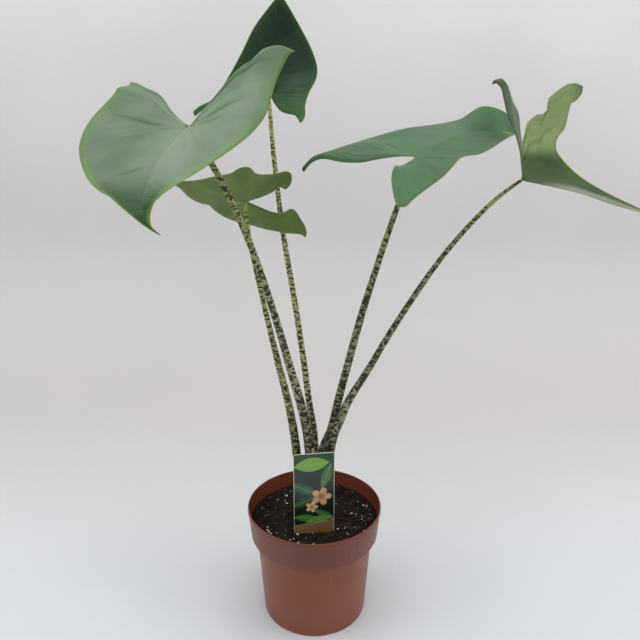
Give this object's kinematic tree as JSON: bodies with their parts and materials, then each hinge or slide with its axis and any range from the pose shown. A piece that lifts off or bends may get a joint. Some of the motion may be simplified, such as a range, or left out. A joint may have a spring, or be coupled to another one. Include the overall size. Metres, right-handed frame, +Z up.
{
  "type": "potted plant",
  "caption": "Potted alocasia: arrow-shaped leaves on long zebra-mottled stalks, in a brown stepped plastic nursery pot with a plant label.",
  "frame": {"origin": "centre of the pot's flat underside, where it stands on the ground", "axes": "+Z up along the pot's axis, -Y towards the front, which is the side the label and the front leaf face, +X to the right of a viewer in front"},
  "size_m": [0.6447, 0.3441, 0.7544],
  "materials": {
    "pot": "satin brown terracotta-coloured moulded plastic",
    "soil": null,
    "card": "glossy printed plastic label, deep green with a tan band",
    "sheath": null,
    "stalk": null,
    "blade": null
  },
  "bodies": {
    "root": {"pot": "pot", "soil": "soil", "card": "card", "dry_sheath": "sheath", "stalk_front_left": "stalk", "blade_front_left": "blade", "stalk_back": "stalk", "blade_back": "blade", "stalk_right": "stalk", "blade_right": "blade", "stalk_low_left": "stalk", "blade_low_left": "blade", "stalk_far_right": "stalk", "blade_far_right": "blade"}
  },
  "joints": []
}
